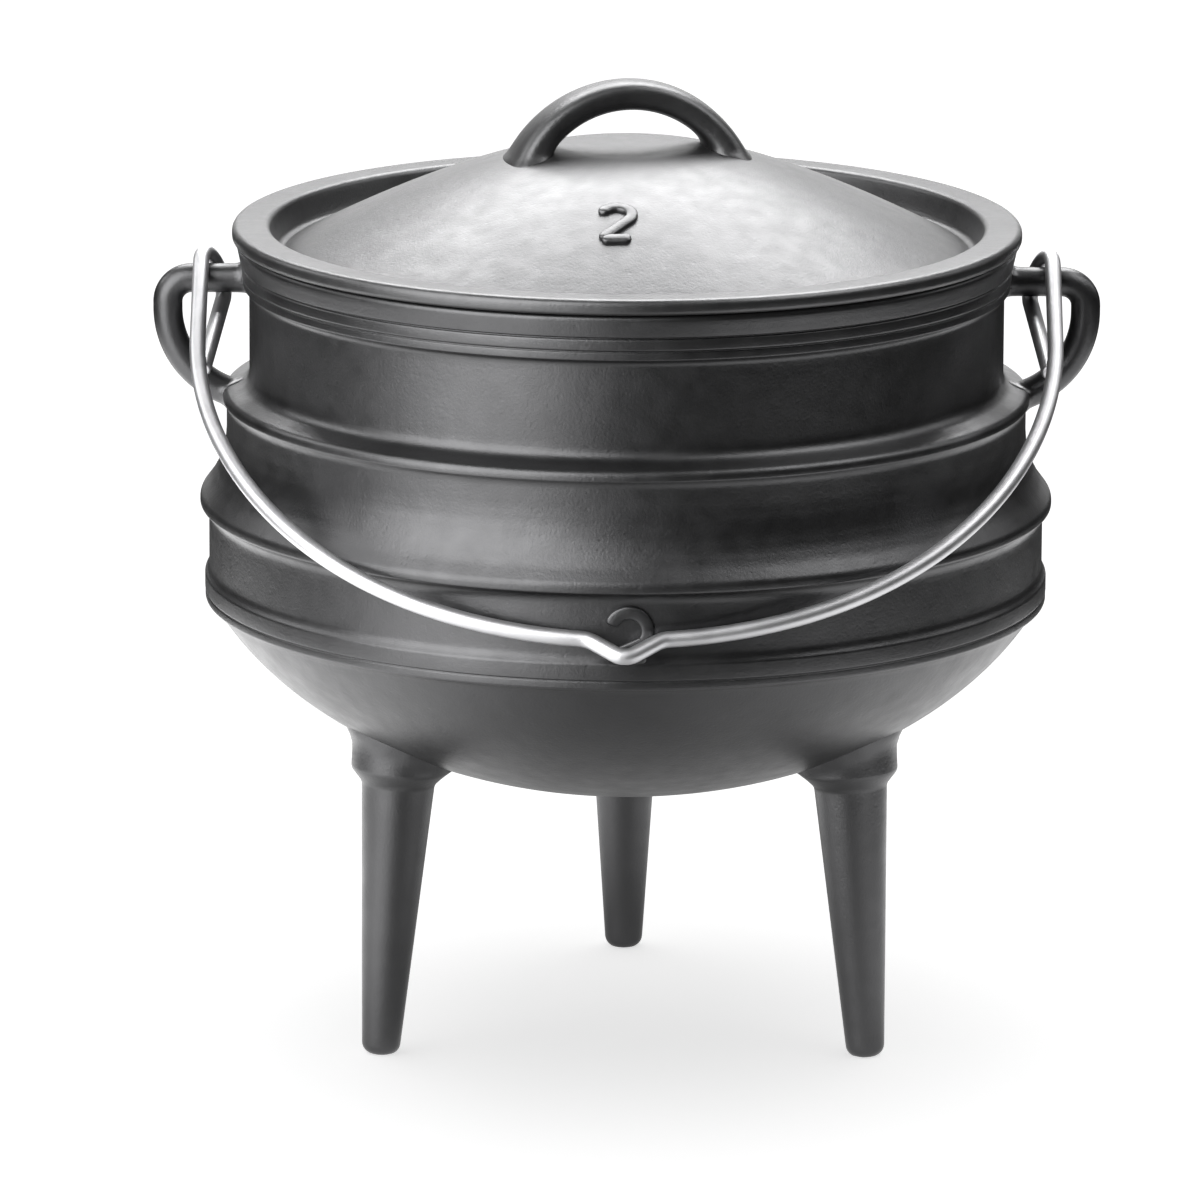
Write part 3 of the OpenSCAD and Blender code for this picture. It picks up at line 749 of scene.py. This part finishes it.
def looking(at, aim):
    """Placing of a camera or lamp that stands at one point and looks at another."""
    turn = (Vector(aim) - Vector(at)).to_track_quat("-Z", "Y").to_matrix().to_4x4()
    return Matrix.Translation(at) @ turn


camera = bpy.data.objects.new("camera", bpy.data.cameras.new("camera"))
camera.data.lens = LENS_MM
camera.data.sensor_width = SENSOR_MM
camera.data.clip_end = SEES_TO
roll = Matrix.Rotation(np.radians(CAMERA_ROLL), 4, "Z")
camera.matrix_world = looking(CAMERA_AT, CAMERA_AIM) @ roll
bpy.context.scene.collection.objects.link(camera)
bpy.context.scene.camera = camera
print(f"camera {(CAMERA_AIM - CAMERA_AT).length:.2f} m away, lens {LENS_MM} mm")

# %% [markdown]
# The floor is plain and pale. A wide light above lights it alone, and it glows a little by itself,
# so that the pot's shadow stays as broad and faint as in the photograph. The pot never mirrors that
# wide floor. In a studio it would stand on a sheet of paper not much larger than itself, so two
# glowing sheets of about that size are what the pot mirrors, and the camera doesn't see them.

# %% The floor
FLOOR_REACH, FLOOR_GLOW, SHEET_GLOW, WHITE = 9, 0.65, 1.1, (1, 1, 1, 1)


def flat_sheet(name, left, right, front, back):
    """Rectangle on the floor, in metres, with a matt material whose nodes and shader come with it."""
    mesh = bpy.data.meshes.new(name)
    corners = [(left, front, 0), (right, front, 0), (right, back, 0), (left, back, 0)]
    mesh.from_pydata(corners, [], [(0, 1, 2, 3)])
    sheet = bpy.data.objects.new(name, mesh)
    bpy.context.scene.collection.objects.link(sheet)
    material, tree, shader, place = finish(name, 0.0)
    mesh.materials.append(material)
    shader.inputs["Roughness"].default_value = 0.9
    shader.inputs["Emission Color"].default_value = WHITE
    return sheet, tree, shader, place


def pale_floor(name, reach):
    """Wide matt white floor that glows a little, and that no piece mirrors."""
    sheet, _, shader, _ = flat_sheet(name, -reach, reach, -reach, reach)
    shader.inputs["Base Color"].default_value = (0.86, 0.86, 0.86, 1)
    shader.inputs["Emission Strength"].default_value = FLOOR_GLOW
    sheet.visible_glossy = False
    return sheet


def glowing_mirrored_sheet(name, left, right, front, back):
    """Glowing sheet seen only mirrored in the pieces, a painted reflection: dim under the pot, a painted
    shadow, and brightest on the left, painted light.

    Its strength is one ramp along the distance from the pot's middle plane, |x|, plus one along x.
    """
    sheet, tree, shader, place = flat_sheet(name, left, right, front, back)
    shader.inputs["Base Color"].default_value = (0, 0, 0, 1)
    parts = node(tree, "ShaderNodeSeparateXYZ")
    tree.links.new(place, parts.inputs["Vector"])
    aside = node(tree, "ShaderNodeMath", operation="ABSOLUTE")
    tree.links.new(parts.outputs["X"], aside.inputs[0])
    total = node(tree, "ShaderNodeMath", operation="ADD")
    # A ramp reads a distance in metres, and from its start to its stop it goes from low to high.
    # The first ramp is painted shadow, dimming the strip under the pot; the second is painted light,
    # brightening the left side.
    for k, (value, start, stop, low, high) in enumerate((
        (aside.outputs["Value"], 0.03, 0.2, 0.55, 1.7),
        (parts.outputs["X"], -0.03, -0.25, 0.0, 1.0),
    )):
        ramp = node(tree, "ShaderNodeMapRange")
        ramp.inputs["From Min"].default_value = start
        ramp.inputs["From Max"].default_value = stop
        ramp.inputs["To Min"].default_value = low * SHEET_GLOW
        ramp.inputs["To Max"].default_value = high * SHEET_GLOW
        tree.links.new(value, ramp.inputs["Value"])
        tree.links.new(ramp.outputs["Result"], total.inputs[k])
    tree.links.new(total.outputs["Value"], shader.inputs["Emission Strength"])
    sheet.visible_camera = sheet.visible_diffuse = sheet.visible_shadow = False
    return sheet


floor = pale_floor("floor", FLOOR_REACH)
# Both sheets glow only to be mirrored: a painted reflection of lit paper, with painted shadow under the
# pot and painted light on the left.
mirrored_sheet = glowing_mirrored_sheet("mirrored_sheet", -0.55, 0.5, -0.42, 0.35)
mirrored_corner = glowing_mirrored_sheet("mirrored_corner", -0.95, -0.12, -0.95, -0.42)
print("stage:", [piece.name for piece in (floor, mirrored_sheet, mirrored_corner)])

# %% [markdown]
# The pot is dark, so what gives it its form is what it mirrors: a bright key light high behind it,
# which the lid shows, a faint backdrop low behind it, a broad soft light in front on the left, a
# light high on the right for the ribs' upper sides, and two small ones behind, left and right.
# Darkness stays in front on the right. The key light and its helpers leave the floor alone, and the
# floor's own light isn't mirrored.

# %% The lights
LAMP_AIM, BACKDROP_AIM, WORLD_GLOW = (0, 0, 0.2), (0, 0, 0.3), 0.03
FLOOR_LIGHT_AT, FLOOR_LIGHT_AIM = (-0.2, 0.75, 1.8), (-0.2, 0.75, 0)
without_floor = bpy.data.collections.new("without_floor")
without_floor.objects.link(floor)
without_floor.collection_objects[0].light_linking.link_state = "EXCLUDE"


def soft_light(name, at, aim, wide, tall, brightness, on_floor=False):
    """Rectangular area light at a point, turned towards another; power = brightness x pi x area."""
    lamp = bpy.data.lights.new(name, "AREA")
    lamp.shape = "RECTANGLE"
    lamp.size, lamp.size_y = wide, tall
    lamp.energy = brightness * np.pi * wide * tall
    holder = bpy.data.objects.new(name, lamp)
    holder.matrix_world = looking(at, aim)
    holder.visible_glossy = not on_floor
    if not on_floor:
        holder.light_linking.receiver_collection = without_floor
    bpy.context.scene.collection.objects.link(holder)
    print(f"{name}: {wide} by {tall} m, {lamp.energy:.1f} W")


soft_light("light_floor", FLOOR_LIGHT_AT, FLOOR_LIGHT_AIM, 4.0, 4.0, 1.0, on_floor=True)
soft_light("light_key", (0, 1.05, 1.45), LAMP_AIM, 1.5, 1.0, 12.0)
soft_light("light_top", (0.95, -0.15, 1.55), LAMP_AIM, 1.1, 0.85, 4.8)
soft_light("light_backdrop", (0, 2.6, 0.7), BACKDROP_AIM, 2.4, 1.4, 1.3)
soft_light("light_left", (-0.64, -0.66, 0.62), LAMP_AIM, 1.0, 1.25, 6.4)
soft_light("light_upper_left", (-1.5, 0.5, 1.1), LAMP_AIM, 0.8, 0.6, 5.0)
soft_light("light_upper_right", (1.5, 0.6, 1.0), LAMP_AIM, 0.8, 0.6, 2.0)

world = bpy.data.worlds.new("studio")
bpy.context.scene.world = world
world.use_nodes = True
background = world.node_tree.nodes["Background"]
background.inputs["Color"].default_value = WHITE
background.inputs["Strength"].default_value = WORLD_GLOW
bpy.context.scene.view_settings.view_transform = "Standard"
